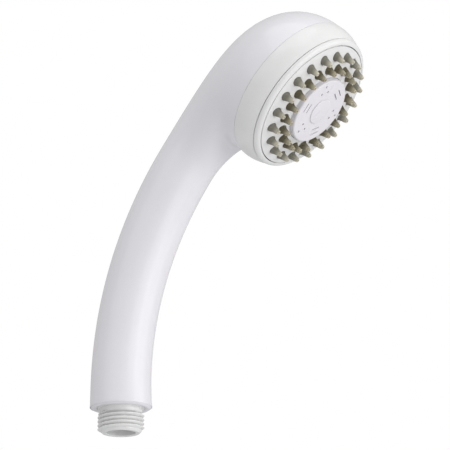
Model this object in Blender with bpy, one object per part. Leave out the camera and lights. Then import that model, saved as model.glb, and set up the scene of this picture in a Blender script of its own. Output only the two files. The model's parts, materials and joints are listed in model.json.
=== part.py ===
"""Handheld shower head: a curved handset with a turning spray face and a G1/2 hose inlet.

Metres, +Z up. The origin is the centre of the inlet's end face, and the inlet's axis is Z. The object is
symmetric about the plane X = 0, and the spray face looks towards -Y and down.
"""

import math

import bmesh
import bpy
from mathutils import Matrix, Vector

# Overall shape of the handset
HANDLE_END_RADIUS = 0.0140
HANDLE_WAIST_RADIUS = 0.0134
NECK_RADIUS = 0.0136
NECK_RISE = 0.1111  # from the handle's lower end to the neck
NECK_REACH = 0.0322  # how far the neck stands forward of the inlet's axis
NECK_LEAN = math.radians(34.6)
CHIN_REACH = 0.0279  # from the neck forward to the lowest point of the head's seam
CHIN_RISE = 0.0024
FACE_TILT = math.radians(42.5)  # how far the spray face looks down
FOOT_PULL = 0.087  # the curves' handles: shares of the neck's rise
NECK_PULL = 0.57
REAR_LEAD = 2.25  # shares of the seam's radius
REAR_LAND = 0.54
FRONT_LEAD = 0.71  # shares of the chin's reach
FRONT_LAND = 0.28
TUBE_RISE_PULL = 0.93  # shares of the tube's own rise and depth above the neck
TUBE_DEPTH_PULL = 1.9
WALL = 0.0025
END_ROUNDING = 0.0019  # the rounded lower edge of the handle

# Head, measured outwards along the spray axis from the rim line of the face
FACE_RADIUS = 0.0312
FACE_CROWN = 0.0041  # how much the face plate would rise to its middle
PLATE_DEPTH = 0.0012  # how far the plate's flat back lies behind the rim line
RIM_WIDTH = 0.0025
RIM_DROP = 0.0022
SEAM_DEPTH = 0.0130
SEAM_SWELL = 0.0018  # how much wider the seam is than the rim
COLLAR_BULGE = 0.0008
COLLAR_LIP = 0.0010
SPIGOT_DEPTH = 0.0030
SPIGOT_WALL = 0.0015
SPIGOT_GAP = 0.0008  # between the shell and the collar's spigot
FLANGE_WIDTH = 0.0067
FLANGE_THICKNESS = 0.0025

# Spray nozzles
NOZZLE_COUNT = 20
NOZZLE_RADIUS = 0.0021
NOZZLE_TIP_RADIUS = 0.0012
NOZZLE_LENGTH = 0.0046
NOZZLE_BORE = 0.00045
OUTER_RING_MARGIN = 0.0048  # from the rim line to the outer ring of nozzles
RING_SPACING = 0.0058
MAT_THICKNESS = 0.0018
MAT_WEB = 0.0008

# Centre disc, cap and pivot
DISC_MARGIN = 0.00425  # from the inner ring of nozzles to the disc's edge
DISC_RISE = 0.0053
DISC_WALL = 0.0016
DISC_FACE_WALL = 0.0017
DISC_MIDDLE_WALL = 0.0010
CAP_SEAT_DEPTH = 0.0019
DISC_FLANGE = 0.00145
CAP_RADIUS = 0.0063
CAP_RISE = 0.0011
CAP_PLUG_RADIUS = 0.0054
CAP_WALL = 0.0007
JET_RADIUS = 0.00042
JET_GROUPS = 3
JET_RING = 0.70  # share of the disc's radius at which the jets lie
JET_SPREAD = 0.2  # share of that ring
SLIT_LENGTH = 0.42  # share of that ring
SLIT_RINGS = (0.87, 1.1)  # shares of that ring
JET_TURN = math.radians(42)
SCREW_RADIUS = 0.0016
SCREW_HEAD_RADIUS = 0.0030
SCREW_HEAD_HEIGHT = 0.0009
WASHER_THICKNESS = 0.0005

# Water parts inside the head
PLATE_THICKNESS = 0.0016
PIVOT_SLEEVE_RADIUS = 0.0032
TURBINE_HEIGHT = 0.0046
TURBINE_VANES = 6
VANE_THICKNESS = 0.0008
PORT_RADIUS = 0.0030
PORT_RING = 0.0110
SPRAY_STEP = math.radians(60)  # turn of the face from one spray to the next
HUB_GAP = 0.0018
HUB_THICKNESS = 0.0024
SEAL_RADIUS = 0.0053
SEAL_LENGTH = 0.0036
SEAL_BORE = 0.0034
SPRING_WIRE = 0.00035
SPRING_TURNS = 3
SPRING_LENGTH = 0.0024
INSERT_RADIUS = 0.0026
INSERT_LENGTH = 0.0087
HUB_SCREW_RADIUS = 0.0012
HUB_SCREW_HEAD = 0.0020
HUB_SCREW_LENGTH = 0.0050
STOP_WIDTH = math.radians(10)

# Click spring: a bent strip of spring steel
STRIP_THICKNESS = 0.0003
STRIP_WIDTH = 0.0036
STRIP_HALF_LENGTH = 0.0070
NOTCH_DEPTH = 0.0008
NOTCH_RADIUS = 7 * NOTCH_DEPTH

# Inlet
THREAD_RADIUS = 0.0104775  # G1/2
THREAD_PITCH = 0.001814
THREAD_DEPTH = 0.001162
THREAD_LENGTH = 0.0097
NECK_LENGTH = 0.0012
INLET_NECK_RADIUS = 0.00945
INLET_BORE = 0.0066
INLET_BORE_DEPTH = 0.0100
INLET_LIP = 0.0009
INLET_RECESS = 0.0008  # how far inside the handle the inlet's shoulder sits
SHOULDER_LENGTH = 0.0052
SHOULDER_GAP = 0.0005  # to the shell, which bends a little along the shoulder
STEM_RADIUS = 0.0088
STEM_LENGTH = 0.0130
REGULATOR_LENGTH = 0.0030
REGULATOR_JET = 0.0009

# Water tube and O-rings
TUBE_RADIUS = 0.0042
TUBE_WALL = 0.0012
SOCKET_DEPTH = 0.0060
RING_WIRE = 0.00075

GAP = 0.0003  # between pieces that touch
RUNNING_GAP = 0.00035  # between the turning face and the handset

# Fineness
SHELL_SEGMENTS = 22
HANDLE_STEPS = 7
HEAD_STEPS = 10
ROUND_SEGMENTS = 30
SMALL_SEGMENTS = 16
NOZZLE_SEGMENTS = 6
BORE_SEGMENTS = 4
BOLT_SEGMENTS = 8
TUBE_SEGMENTS = 10
TUBE_STEPS = 16
THREAD_SEGMENTS = 12

# Sizes on the inlet axis
HANDLE_END = THREAD_LENGTH + NECK_LENGTH
SHOULDER_START = HANDLE_END + INLET_RECESS
SHOULDER_END = SHOULDER_START + SHOULDER_LENGTH
STEM_END = SHOULDER_END + STEM_LENGTH

# Radii on the spray axis
RIM_RADIUS = FACE_RADIUS + RIM_WIDTH
SEAM_RADIUS = RIM_RADIUS + SEAM_SWELL
PLATE_RADIUS = FACE_RADIUS - GAP / 2
RING_INSIDE = FACE_RADIUS + GAP / 2
COLLAR_INSIDE = RIM_RADIUS - COLLAR_LIP
RING_SKIRT = COLLAR_INSIDE - RUNNING_GAP
PLATE_SKIRT = PLATE_RADIUS - SPIGOT_WALL
WATER_PLATE_RADIUS = PLATE_SKIRT - GAP
HUB_RADIUS = COLLAR_INSIDE - GAP
OUTER_RING = FACE_RADIUS - OUTER_RING_MARGIN
INNER_RING = OUTER_RING - RING_SPACING
DISC_RADIUS = INNER_RING - DISC_MARGIN
DISC_OPENING = DISC_RADIUS + GAP
DISC_FOOT = DISC_RADIUS + DISC_FLANGE
CHAMBER_RADIUS = DISC_RADIUS - DISC_WALL
CAP_SEAT_RADIUS = CAP_PLUG_RADIUS + GAP
SHAFT_BORE = SCREW_RADIUS + GAP
MAT_SPLIT = (OUTER_RING + INNER_RING) / 2
HUB_SCREW_RING = HUB_RADIUS - HUB_SCREW_HEAD - 4 * GAP
STOP_RING = OUTER_RING - RING_SPACING
STOP_INSIDE = STOP_RING - STRIP_WIDTH / 2
STOP_OUTSIDE = STOP_RING + STRIP_WIDTH / 2 - GAP
CLICK_RING = STOP_RING + STRIP_WIDTH

# Depths on the spray axis, positive outwards
PLATE_BACK = -PLATE_DEPTH
MAT_FRONT = PLATE_BACK - GAP
MAT_BACK = MAT_FRONT - MAT_THICKNESS
CHANNEL_FRONT = MAT_BACK - GAP
CHANNEL_BACK = CHANNEL_FRONT - PLATE_THICKNESS
VALVE_FRONT = CHANNEL_BACK - GAP
VALVE_BACK = VALVE_FRONT - PLATE_THICKNESS
HUB_FRONT = VALVE_BACK - HUB_GAP
HUB_BACK = HUB_FRONT - HUB_THICKNESS
FLANGE_FRONT = HUB_BACK - GAP
FLANGE_BACK = FLANGE_FRONT - FLANGE_THICKNESS
CAP_SEAT = DISC_RISE - CAP_SEAT_DEPTH
DISC_MIDDLE_BACK = CAP_SEAT - DISC_MIDDLE_WALL
CHAMBER_TOP = DISC_RISE - DISC_FACE_WALL
TURBINE_BACK = CHANNEL_FRONT + 2 * GAP
SEAL_FRONT = VALVE_BACK - GAP
SEAL_BACK = SEAL_FRONT - SEAL_LENGTH
SPRING_BACK = SEAL_BACK - GAP - SPRING_LENGTH
POCKET_BACK = SPRING_BACK - GAP
SOCKET_FRONT = POCKET_BACK - PLATE_THICKNESS
TUBE_END = SOCKET_FRONT - GAP
SOCKET_BACK = SOCKET_FRONT - SOCKET_DEPTH
RING_SEAT_DEPTH = 2 * RING_WIRE + 2 * GAP
RING_SEAT_RADIUS = TUBE_RADIUS + 2 * RING_WIRE + 2 * GAP
SOCKET_RADIUS = TUBE_RADIUS + GAP
TUBE_RING_RADIUS = TUBE_RADIUS + GAP + RING_WIRE
SOCKET_BOSS = RING_SEAT_RADIUS + SPIGOT_WALL
SEAL_ANGLE = math.radians(-90)  # the fixed outlet is on the handle's side of the spray axis

# Frames: the spray axis is the head frame's Z, and its Y points up the face
SPRAY_AXIS = Vector((0, -math.cos(FACE_TILT), -math.sin(FACE_TILT)))
FACE_UP = Vector((0, -math.sin(FACE_TILT), math.cos(FACE_TILT)))
HANDLE_FOOT = Vector((0, 0, HANDLE_END))
NECK = Vector((0, -NECK_REACH, HANDLE_END + NECK_RISE))
NECK_DIRECTION = Vector((0, -math.sin(NECK_LEAN), math.cos(NECK_LEAN)))
CHIN = NECK + Vector((0, -CHIN_REACH, CHIN_RISE))
FACE_CENTRE = CHIN + SEAM_RADIUS * FACE_UP + SEAM_DEPTH * SPRAY_AXIS
HEAD_TURN = Matrix((Vector((1, 0, 0)), FACE_UP, SPRAY_AXIS)).transposed().to_4x4()
HEAD_FRAME = Matrix.Translation(FACE_CENTRE) @ HEAD_TURN


def clear_scene():
    for obj in list(bpy.data.objects):
        bpy.data.objects.remove(obj, do_unlink=True)


def finish(name, colour, roughness, metallic=0.0):
    """A material of this name with this linear base colour."""
    material = bpy.data.materials.new(name)
    material.use_nodes = True
    shader = material.node_tree.nodes["Principled BSDF"]
    shader.inputs["Base Color"].default_value = (*colour, 1)
    shader.inputs["Roughness"].default_value = roughness
    shader.inputs["Metallic"].default_value = metallic
    return material


def add_object(name, bm, material=None, frame=None):
    """An object made from the bmesh, which is in the frame's own coordinates."""
    bmesh.ops.remove_doubles(bm, verts=bm.verts, dist=1e-7)
    bmesh.ops.recalc_face_normals(bm, faces=bm.faces)
    mesh = bpy.data.meshes.new(name)
    bm.to_mesh(mesh)
    bm.free()
    mesh.shade_smooth()
    mesh.set_sharp_from_angle(angle=math.radians(35))
    if material:
        mesh.materials.append(material)
    obj = bpy.data.objects.new(name, mesh)
    obj.matrix_world = frame or Matrix.Identity(4)
    bpy.context.scene.collection.objects.link(obj)
    return obj


def add_tool(name, bm, frame=None):
    """A helper solid for a Boolean, which isn't part of the object."""
    tool = add_object(name, bm, frame=frame)
    tool.hide_render = True
    tool.display_type = "WIRE"
    return tool


def combine(obj, tool, operation):
    boolean = obj.modifiers.new(operation.title(), "BOOLEAN")
    boolean.operation = operation
    boolean.solver = "EXACT"
    boolean.object = tool


def cut(obj, tool):
    combine(obj, tool, "DIFFERENCE")


def unite(obj, tool):
    combine(obj, tool, "UNION")


def turned(profile, segments, angle=2 * math.pi, climb=0.0):
    """(radius, height) points turned about Z from the XZ plane, climbing this far on the way.

    A profile whose ends are both at radius 0 closes there by itself, and any other is a loop.
    """
    bm = bmesh.new()
    points = [bm.verts.new((radius, 0, height)) for radius, height in profile]
    edges = [bm.edges.new(pair) for pair in zip(points, points[1:])]
    if profile[0][0] or profile[-1][0]:
        edges.append(bm.edges.new((points[-1], points[0])))
    whole = climb == 0 and angle > 2 * math.pi - 1e-6
    bmesh.ops.spin(
        bm,
        geom=points + edges,
        axis=(0, 0, 1),
        angle=angle,
        steps=segments,
        use_merge=whole,
        dvec=(0, 0, climb / segments),
    )
    if not whole:
        bmesh.ops.holes_fill(bm, edges=[edge for edge in bm.edges if edge.is_boundary])
    bmesh.ops.remove_doubles(bm, verts=bm.verts, dist=1e-7)
    return bm


def copies(bm, places):
    """The bmesh repeated at each of these matrices, in one bmesh."""
    mesh = bpy.data.meshes.new("copied")
    bm.to_mesh(mesh)
    bm.free()
    repeated = bmesh.new()
    for place in places:
        repeated.from_mesh(mesh)
        repeated.verts.ensure_lookup_table()
        bmesh.ops.transform(repeated, matrix=place, verts=repeated.verts[-len(mesh.vertices) :])
    bpy.data.meshes.remove(mesh)
    return repeated


def tube_profile(inside, outside, low, high):
    return [(inside, low), (outside, low), (outside, high), (inside, high)]


def plug_profile(radius, low, high):
    return [(0, low), (radius, low), (radius, high), (0, high)]


def pegs(places, radius, low, high, segments=SMALL_SEGMENTS):
    """Round pegs along Z at these (x, y) places, in one bmesh."""
    return copies(turned(plug_profile(radius, low, high), segments), [moved_to(*place) for place in places])


def block(bm, size, place):
    """A box of this size, centred on the place's origin."""
    bmesh.ops.create_cube(bm, size=1, matrix=place @ Matrix.Diagonal((*size, 1)))


def turned_by(angle):
    return Matrix.Rotation(angle, 4, "Z")


def around(radius, angle):
    return radius * math.cos(angle), radius * math.sin(angle)


def moved_to(x, y):
    return Matrix.Translation((x, y, 0))


def raised(height):
    return Matrix.Translation((0, 0, height))


def ring_places(radius, count, first=0.0):
    return [around(radius, first + 2 * math.pi * i / count) for i in range(count)]


def face_height(radius):
    """How far the face plate's front stands out at this radius."""
    return FACE_CROWN * (1 - (radius / FACE_RADIUS) ** 2)


def bezier(points, t):
    a, b, c, d = points
    return (1 - t) ** 3 * a + 3 * (1 - t) ** 2 * t * b + 3 * (1 - t) * t * t * c + t**3 * d


def bezier_direction(points, t):
    a, b, c, d = points
    slope = (1 - t) ** 2 * (b - a) + 2 * (1 - t) * t * (c - b) + t * t * (d - c)
    return slope.normalized()


def rear_of(direction):
    """The direction square to this one in the plane X = 0, towards the back of the handset."""
    return Vector((0, direction.z, -direction.y))


# The handle's centre line, and the head's rear and front outlines from the neck to the seam
CROWN = FACE_CENTRE + SEAM_RADIUS * FACE_UP - SEAM_DEPTH * SPRAY_AXIS
NECK_REAR = NECK + NECK_RADIUS * rear_of(NECK_DIRECTION)
NECK_FRONT = NECK - NECK_RADIUS * rear_of(NECK_DIRECTION)
HANDLE_LINE = (
    HANDLE_FOOT,
    HANDLE_FOOT + Vector((0, 0, FOOT_PULL * NECK_RISE)),
    NECK - NECK_PULL * NECK_RISE * NECK_DIRECTION,
    NECK,
)
REAR_LINE = (
    NECK_REAR,
    NECK_REAR + REAR_LEAD * SEAM_RADIUS * NECK_DIRECTION,
    CROWN - REAR_LAND * SEAM_RADIUS * SPRAY_AXIS,
    CROWN,
)
FRONT_LINE = (
    NECK_FRONT,
    NECK_FRONT + FRONT_LEAD * CHIN_REACH * NECK_DIRECTION,
    CHIN - FRONT_LAND * CHIN_REACH * SPRAY_AXIS,
    CHIN,
)


def handle_radius(t):
    """The handle narrows from its end to its waist and widens to the neck."""
    ends = HANDLE_END_RADIUS * (1 - t) * (1 - 2 * t) + NECK_RADIUS * t * (2 * t - 1)
    return ends + 4 * HANDLE_WAIST_RADIUS * t * (1 - t)


def shell_bore(height):
    """The radius clear inside the handle's faceted shell at this height."""
    shares = (i / 100 for i in range(100))
    t = next(share for share in shares if bezier(HANDLE_LINE, share).z > height)
    return (handle_radius(t) - WALL) * math.cos(math.pi / SHELL_SEGMENTS)


SHOULDER_RADIUS = shell_bore(SHOULDER_END) - SHOULDER_GAP


def section_matrix(rear, front):
    """The frame of a round section whose rearmost and foremost points are these."""
    across = (rear - front).normalized()
    normal = Vector((1, 0, 0)).cross(across)
    turn_to = Matrix((Vector((1, 0, 0)), across, normal)).transposed().to_4x4()
    return Matrix.Translation((rear + front) / 2) @ turn_to


def end_sections(inset):
    """The sections below the handle's centre line: a rounded edge outside, and one plain edge inside."""
    if inset:
        return [(Matrix.Translation(HANDLE_FOOT), HANDLE_END_RADIUS - inset)]
    found = []
    for i in range(4):
        angle = i * math.pi / 6
        lift = Vector((0, 0, END_ROUNDING * (1 - math.cos(angle))))
        radius = HANDLE_END_RADIUS - END_ROUNDING * (1 - math.sin(angle))
        found.append((Matrix.Translation(HANDLE_FOOT + lift), radius))
    return found


def shell_sections(inset):
    """(matrix, radius) of the shell's round sections from the handle's end to the seam, moved in by inset."""
    found = end_sections(inset)
    for i in range(1, HANDLE_STEPS + 1):
        t = i / HANDLE_STEPS
        centre = bezier(HANDLE_LINE, t)
        reach = (handle_radius(t) - inset) * rear_of(bezier_direction(HANDLE_LINE, t))
        found.append((section_matrix(centre + reach, centre - reach), reach.length))
    for i in range(1, HEAD_STEPS + 1):
        t = i / HEAD_STEPS
        rear = bezier(REAR_LINE, t) - inset * rear_of(bezier_direction(REAR_LINE, t))
        front = bezier(FRONT_LINE, t) + inset * rear_of(bezier_direction(FRONT_LINE, t))
        found.append((section_matrix(rear, front), (rear - front).length / 2))
    return found


def skinned(rings, segments):
    """A closed wall through these (matrix, radius) circles, the last joined to the first."""
    bm = bmesh.new()
    loops = []
    for matrix, radius in rings:
        made = bmesh.ops.create_circle(bm, segments=segments, radius=radius, matrix=matrix)
        loops.append(list({edge for vert in made["verts"] for edge in vert.link_edges}))
    for loop, after in zip(loops, loops[1:] + loops[:1]):
        bmesh.ops.bridge_loops(bm, edges=loop + after)
    return bm


def hollow(outside, inside, segments):
    """The wall between two tubes, with the inner edge drawn in a little at both ends."""
    foot = inside[0][0] @ raised(GAP)
    top = inside[-1][0] @ raised(-GAP)
    lining = [(foot, inside[0][1])] + inside[1:-1] + [(top, inside[-1][1])]
    return skinned(outside + lining[::-1], segments)


# Finishes
def finishes():
    return {
        "white": finish("white_plastic", (0.86, 0.86, 0.87), 0.22),
        "lilac": finish("cool_white_plastic", (0.78, 0.77, 0.82), 0.35),
        "olive": finish("nozzle_rubber", (0.33, 0.31, 0.21), 0.6),
        "grey": finish("inner_plastic", (0.55, 0.57, 0.6), 0.45),
        "dark": finish("regulator_plastic", (0.22, 0.21, 0.2), 0.4),
        "black": finish("seal_rubber", (0.02, 0.02, 0.02), 0.7),
        "steel": finish("stainless_steel", (0.6, 0.6, 0.6), 0.3, 1.0),
        "brass": finish("brass", (0.72, 0.53, 0.22), 0.35, 1.0),
    }


# Handset
def handle_shell(look):
    add_object("handle_shell", hollow(shell_sections(0), shell_sections(WALL), SHELL_SEGMENTS), look["white"])


def head_collar(look):
    front = -RIM_DROP - RUNNING_GAP
    back = -SEAM_DEPTH + GAP
    spigot = SEAM_RADIUS - WALL - SPIGOT_GAP
    profile = []
    for i in range(5):
        t = i / 4
        radius = RIM_RADIUS + (SEAM_RADIUS - RIM_RADIUS) * t + 4 * COLLAR_BULGE * t * (1 - t)
        profile.append((radius, front + (back - front) * t))
    profile += [
        (spigot, back),
        (spigot, -SEAM_DEPTH - SPIGOT_DEPTH),
        (spigot - SPIGOT_WALL, -SEAM_DEPTH - SPIGOT_DEPTH),
        (spigot - SPIGOT_WALL, FLANGE_BACK),
        (COLLAR_INSIDE - FLANGE_WIDTH, FLANGE_BACK),
        (COLLAR_INSIDE - FLANGE_WIDTH, FLANGE_FRONT),
        (COLLAR_INSIDE, FLANGE_FRONT),
        (COLLAR_INSIDE, front),
    ]
    collar = add_object("head_collar", turned(profile, ROUND_SEGMENTS), look["white"], HEAD_FRAME)
    places = ring_places(HUB_SCREW_RING, 3, math.radians(30))
    holes = pegs(places, HUB_SCREW_RADIUS + GAP, FLANGE_BACK - GAP, FLANGE_FRONT + GAP, NOZZLE_SEGMENTS)
    cut(collar, add_tool("collar_screw_holes", holes, HEAD_FRAME))


def inlet_connector(look):
    root = THREAD_RADIUS - THREAD_DEPTH
    seat = SHOULDER_RADIUS - 2 * RING_WIRE - GAP
    groove = 2 * RING_WIRE + 2 * GAP
    groove_low = SHOULDER_START + (SHOULDER_LENGTH - groove) / 2
    socket = STEM_END - SOCKET_DEPTH
    profile = [
        (INLET_BORE, 0),
        (root - INLET_LIP, 0),
        (root, INLET_LIP),
        (root, THREAD_LENGTH),
        (INLET_NECK_RADIUS, THREAD_LENGTH),
        (INLET_NECK_RADIUS, SHOULDER_START),
        (SHOULDER_RADIUS, SHOULDER_START),
        (SHOULDER_RADIUS, groove_low),
        (seat, groove_low),
        (seat, groove_low + groove),
        (SHOULDER_RADIUS, groove_low + groove),
        (SHOULDER_RADIUS, SHOULDER_END),
        (STEM_RADIUS, SHOULDER_END),
        (STEM_RADIUS, STEM_END),
        (RING_SEAT_RADIUS, STEM_END),
        (RING_SEAT_RADIUS, STEM_END - RING_SEAT_DEPTH),
        (SOCKET_RADIUS, STEM_END - RING_SEAT_DEPTH),
        (SOCKET_RADIUS, socket),
        (TUBE_RADIUS - TUBE_WALL, socket),
        (TUBE_RADIUS - TUBE_WALL, INLET_BORE_DEPTH),
        (INLET_BORE, INLET_BORE_DEPTH),
    ]
    connector = add_object("inlet_connector", turned(profile, 2 * THREAD_SEGMENTS), look["white"])
    unite(connector, add_tool("thread_ridge", thread_ridge(root)))
    add_ring("inlet_o_ring", SHOULDER_RADIUS - RING_WIRE, groove_low + groove / 2, look["black"])
    add_ring("lower_tube_o_ring", TUBE_RING_RADIUS, STEM_END - RING_SEAT_DEPTH / 2, look["black"])


def thread_ridge(root):
    """One helical ridge of the pipe thread, sunk a little into the core."""
    turns = THREAD_LENGTH / THREAD_PITCH - 1
    low = THREAD_PITCH / 2
    sink = 2 * GAP
    foot = 0.45 * THREAD_PITCH
    crest = 0.1 * THREAD_PITCH
    profile = [
        (root - sink, low - foot),
        (THREAD_RADIUS, low - crest),
        (THREAD_RADIUS, low + crest),
        (root - sink, low + foot),
    ]
    return turned(
        profile, round(turns * THREAD_SEGMENTS), angle=2 * math.pi * turns, climb=turns * THREAD_PITCH
    )


def add_ring(name, radius, height, material, frame=None):
    """An O-ring of the usual wire about Z."""
    profile = [
        (radius + x, height + y) for x, y in (around(RING_WIRE, i * math.tau / 5) for i in range(5))
    ]
    add_object(name, turned(profile, SMALL_SEGMENTS), material, frame)


def flow_regulator(look):
    radius = INLET_BORE - GAP
    back = INLET_BORE_DEPTH - GAP
    front = back - REGULATOR_LENGTH
    body = turned(plug_profile(radius, front, back), SMALL_SEGMENTS)
    disc = add_object("flow_regulator", body, look["dark"])
    jets = pegs(ring_places(radius / 2, 6), REGULATOR_JET, front - GAP, back + GAP, NOZZLE_SEGMENTS)
    cut(disc, add_tool("regulator_jets", jets))
    add_ring("regulator_o_ring", radius - RING_WIRE, front - GAP - RING_WIRE, look["black"])


def tube_sections(radius):
    """Sections of the water tube, from the inlet's socket up the handle and round to the hub's socket."""
    start = Vector((0, 0, STEM_END - SOCKET_DEPTH + GAP))
    end = HEAD_FRAME @ Vector((0, -PORT_RING, TUBE_END))
    rise = (end - NECK).dot(FACE_UP)
    depth = (end - NECK).dot(SPRAY_AXIS)
    lead = Vector((0, 0, (NECK.z - start.z) / 4))
    lower = (start, start + lead, HANDLE_LINE[2], NECK)
    rise_pull = TUBE_RISE_PULL * rise * NECK_DIRECTION
    upper = (NECK, NECK + rise_pull, end - TUBE_DEPTH_PULL * depth * SPRAY_AXIS, end)
    found = []
    for leg, first in ((lower, 0), (upper, 1)):
        steps = TUBE_STEPS // 2
        for i in range(first, steps + 1):
            centre = bezier(leg, i / steps)
            reach = radius * rear_of(bezier_direction(leg, i / steps))
            found.append((section_matrix(centre + reach, centre - reach), radius))
    return found


def water_tube(look):
    wall = hollow(tube_sections(TUBE_RADIUS), tube_sections(TUBE_RADIUS - TUBE_WALL), TUBE_SEGMENTS)
    add_object("water_tube", wall, look["grey"])


# Fixed pieces in the head
def outlet_frame():
    return HEAD_FRAME @ moved_to(*around(PORT_RING, SEAL_ANGLE))


def flow_hub(look):
    bore = INSERT_RADIUS + GAP
    boss = bore + SPIGOT_WALL
    sleeve_back = HUB_FRONT - INSERT_LENGTH - GAP
    profile = [
        (bore, VALVE_BACK - GAP),
        (boss, VALVE_BACK - GAP),
        (boss, HUB_FRONT),
        (HUB_RADIUS, HUB_FRONT),
        (HUB_RADIUS, HUB_BACK),
        (boss, HUB_BACK),
        (boss, sleeve_back),
        (bore, sleeve_back),
    ]
    hub = add_object("flow_hub", turned(profile, ROUND_SEGMENTS), look["grey"], HEAD_FRAME)
    outlet = turned(plug_profile(SOCKET_BOSS, SOCKET_BACK, HUB_FRONT - GAP), SMALL_SEGMENTS)
    unite(hub, add_tool("outlet_boss", outlet, outlet_frame()))
    outline = tube_profile(STOP_INSIDE, STOP_OUTSIDE, HUB_FRONT - GAP, VALVE_BACK - 2 * GAP)
    away = SPRAY_STEP + STOP_WIDTH + math.radians(1)
    middles = [math.pi / 2 + side * away - STOP_WIDTH / 2 for side in (-1, 1)]
    stops = copies(turned(outline, 3, angle=STOP_WIDTH), [turned_by(angle) for angle in middles])
    unite(hub, add_tool("stop_blocks", stops, HEAD_FRAME))
    water_way = [
        (0, HUB_FRONT + GAP),
        (SEAL_RADIUS + GAP, HUB_FRONT + GAP),
        (SEAL_RADIUS + GAP, POCKET_BACK),
        (PORT_RADIUS, POCKET_BACK),
        (PORT_RADIUS, SOCKET_FRONT),
        (SOCKET_RADIUS, SOCKET_FRONT),
        (SOCKET_RADIUS, SOCKET_BACK + RING_SEAT_DEPTH),
        (RING_SEAT_RADIUS, SOCKET_BACK + RING_SEAT_DEPTH),
        (RING_SEAT_RADIUS, SOCKET_BACK - GAP),
        (0, SOCKET_BACK - GAP),
    ]
    cut(hub, add_tool("water_way", turned(water_way, SMALL_SEGMENTS), outlet_frame()))
    floor = HUB_FRONT - HUB_SCREW_HEAD / 2 - 2 * GAP
    screw_hole = [
        (0, HUB_FRONT + GAP),
        (HUB_SCREW_HEAD + GAP, HUB_FRONT + GAP),
        (HUB_SCREW_HEAD + GAP, floor),
        (HUB_SCREW_RADIUS + GAP, floor),
        (HUB_SCREW_RADIUS + GAP, HUB_BACK - GAP),
        (0, HUB_BACK - GAP),
    ]
    places = [moved_to(*place) for place in ring_places(HUB_SCREW_RING, 3, math.radians(30))]
    holes = copies(turned(screw_hole, NOZZLE_SEGMENTS), places)
    cut(hub, add_tool("hub_screw_holes", holes, HEAD_FRAME))
    place = (CLICK_RING, -STRIP_HALF_LENGTH)
    tap = pegs([place], HUB_SCREW_RADIUS / 2 + GAP, HUB_BACK - GAP, HUB_FRONT + GAP, NOZZLE_SEGMENTS)
    cut(hub, add_tool("click_screw_hole", tap, HEAD_FRAME))


def hub_screws(look):
    head_back = HUB_FRONT - HUB_SCREW_HEAD / 2 - GAP
    profile = [
        (0, HUB_FRONT - GAP),
        (HUB_SCREW_HEAD, HUB_FRONT - GAP),
        (HUB_SCREW_HEAD, head_back),
        (HUB_SCREW_RADIUS, head_back),
        (HUB_SCREW_RADIUS, head_back - HUB_SCREW_LENGTH),
        (0, head_back - HUB_SCREW_LENGTH),
    ]
    for i, place in enumerate(ring_places(HUB_SCREW_RING, 3, math.radians(30))):
        screw = turned(profile, BOLT_SEGMENTS)
        add_object(f"hub_screw_{i + 1}", screw, look["steel"], HEAD_FRAME @ moved_to(*place))


def outlet_pieces(look):
    seal = tube_profile(SEAL_BORE, SEAL_RADIUS, SEAL_BACK, SEAL_FRONT)
    add_object("valve_seal", turned(seal, SMALL_SEGMENTS), look["black"], outlet_frame())
    radius = SEAL_RADIUS - GAP - SPRING_WIRE
    low = SPRING_BACK + SPRING_WIRE
    wire = [(radius + x, low + y) for x, y in (around(SPRING_WIRE, i * math.pi / 2) for i in range(4))]
    coil = turned(
        wire,
        SPRING_TURNS * SMALL_SEGMENTS,
        angle=2 * math.pi * SPRING_TURNS,
        climb=SPRING_LENGTH - 2 * SPRING_WIRE,
    )
    add_object("valve_seal_spring", coil, look["steel"], outlet_frame())
    ring = SOCKET_BACK + RING_SEAT_DEPTH / 2
    add_ring("upper_tube_o_ring", TUBE_RING_RADIUS, ring, look["black"], outlet_frame())


def pivot(look):
    insert = tube_profile(SHAFT_BORE, INSERT_RADIUS, HUB_FRONT - INSERT_LENGTH, HUB_FRONT)
    add_object("pivot_insert", turned(insert, SMALL_SEGMENTS), look["brass"], HEAD_FRAME)
    washer_back = CAP_SEAT + GAP
    head_back = washer_back + WASHER_THICKNESS + GAP
    washer = tube_profile(SHAFT_BORE, SCREW_HEAD_RADIUS + GAP, washer_back, washer_back + WASHER_THICKNESS)
    add_object("pivot_washer", turned(washer, SMALL_SEGMENTS), look["steel"], HEAD_FRAME)
    end = HUB_FRONT - INSERT_LENGTH + PLATE_THICKNESS
    profile = [
        (0, head_back + SCREW_HEAD_HEIGHT),
        (SCREW_HEAD_RADIUS, head_back + SCREW_HEAD_HEIGHT),
        (SCREW_HEAD_RADIUS, head_back),
        (SCREW_RADIUS, head_back),
        (SCREW_RADIUS, end),
        (0, end),
    ]
    screw = add_object("pivot_screw", turned(profile, SMALL_SEGMENTS), look["steel"], HEAD_FRAME)
    slot = bmesh.new()
    size = (2 * SCREW_RADIUS, SCREW_RADIUS / 2, SCREW_HEAD_HEIGHT)
    block(slot, size, raised(head_back + SCREW_HEAD_HEIGHT))
    cut(screw, add_tool("screw_slot", slot, HEAD_FRAME))


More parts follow.
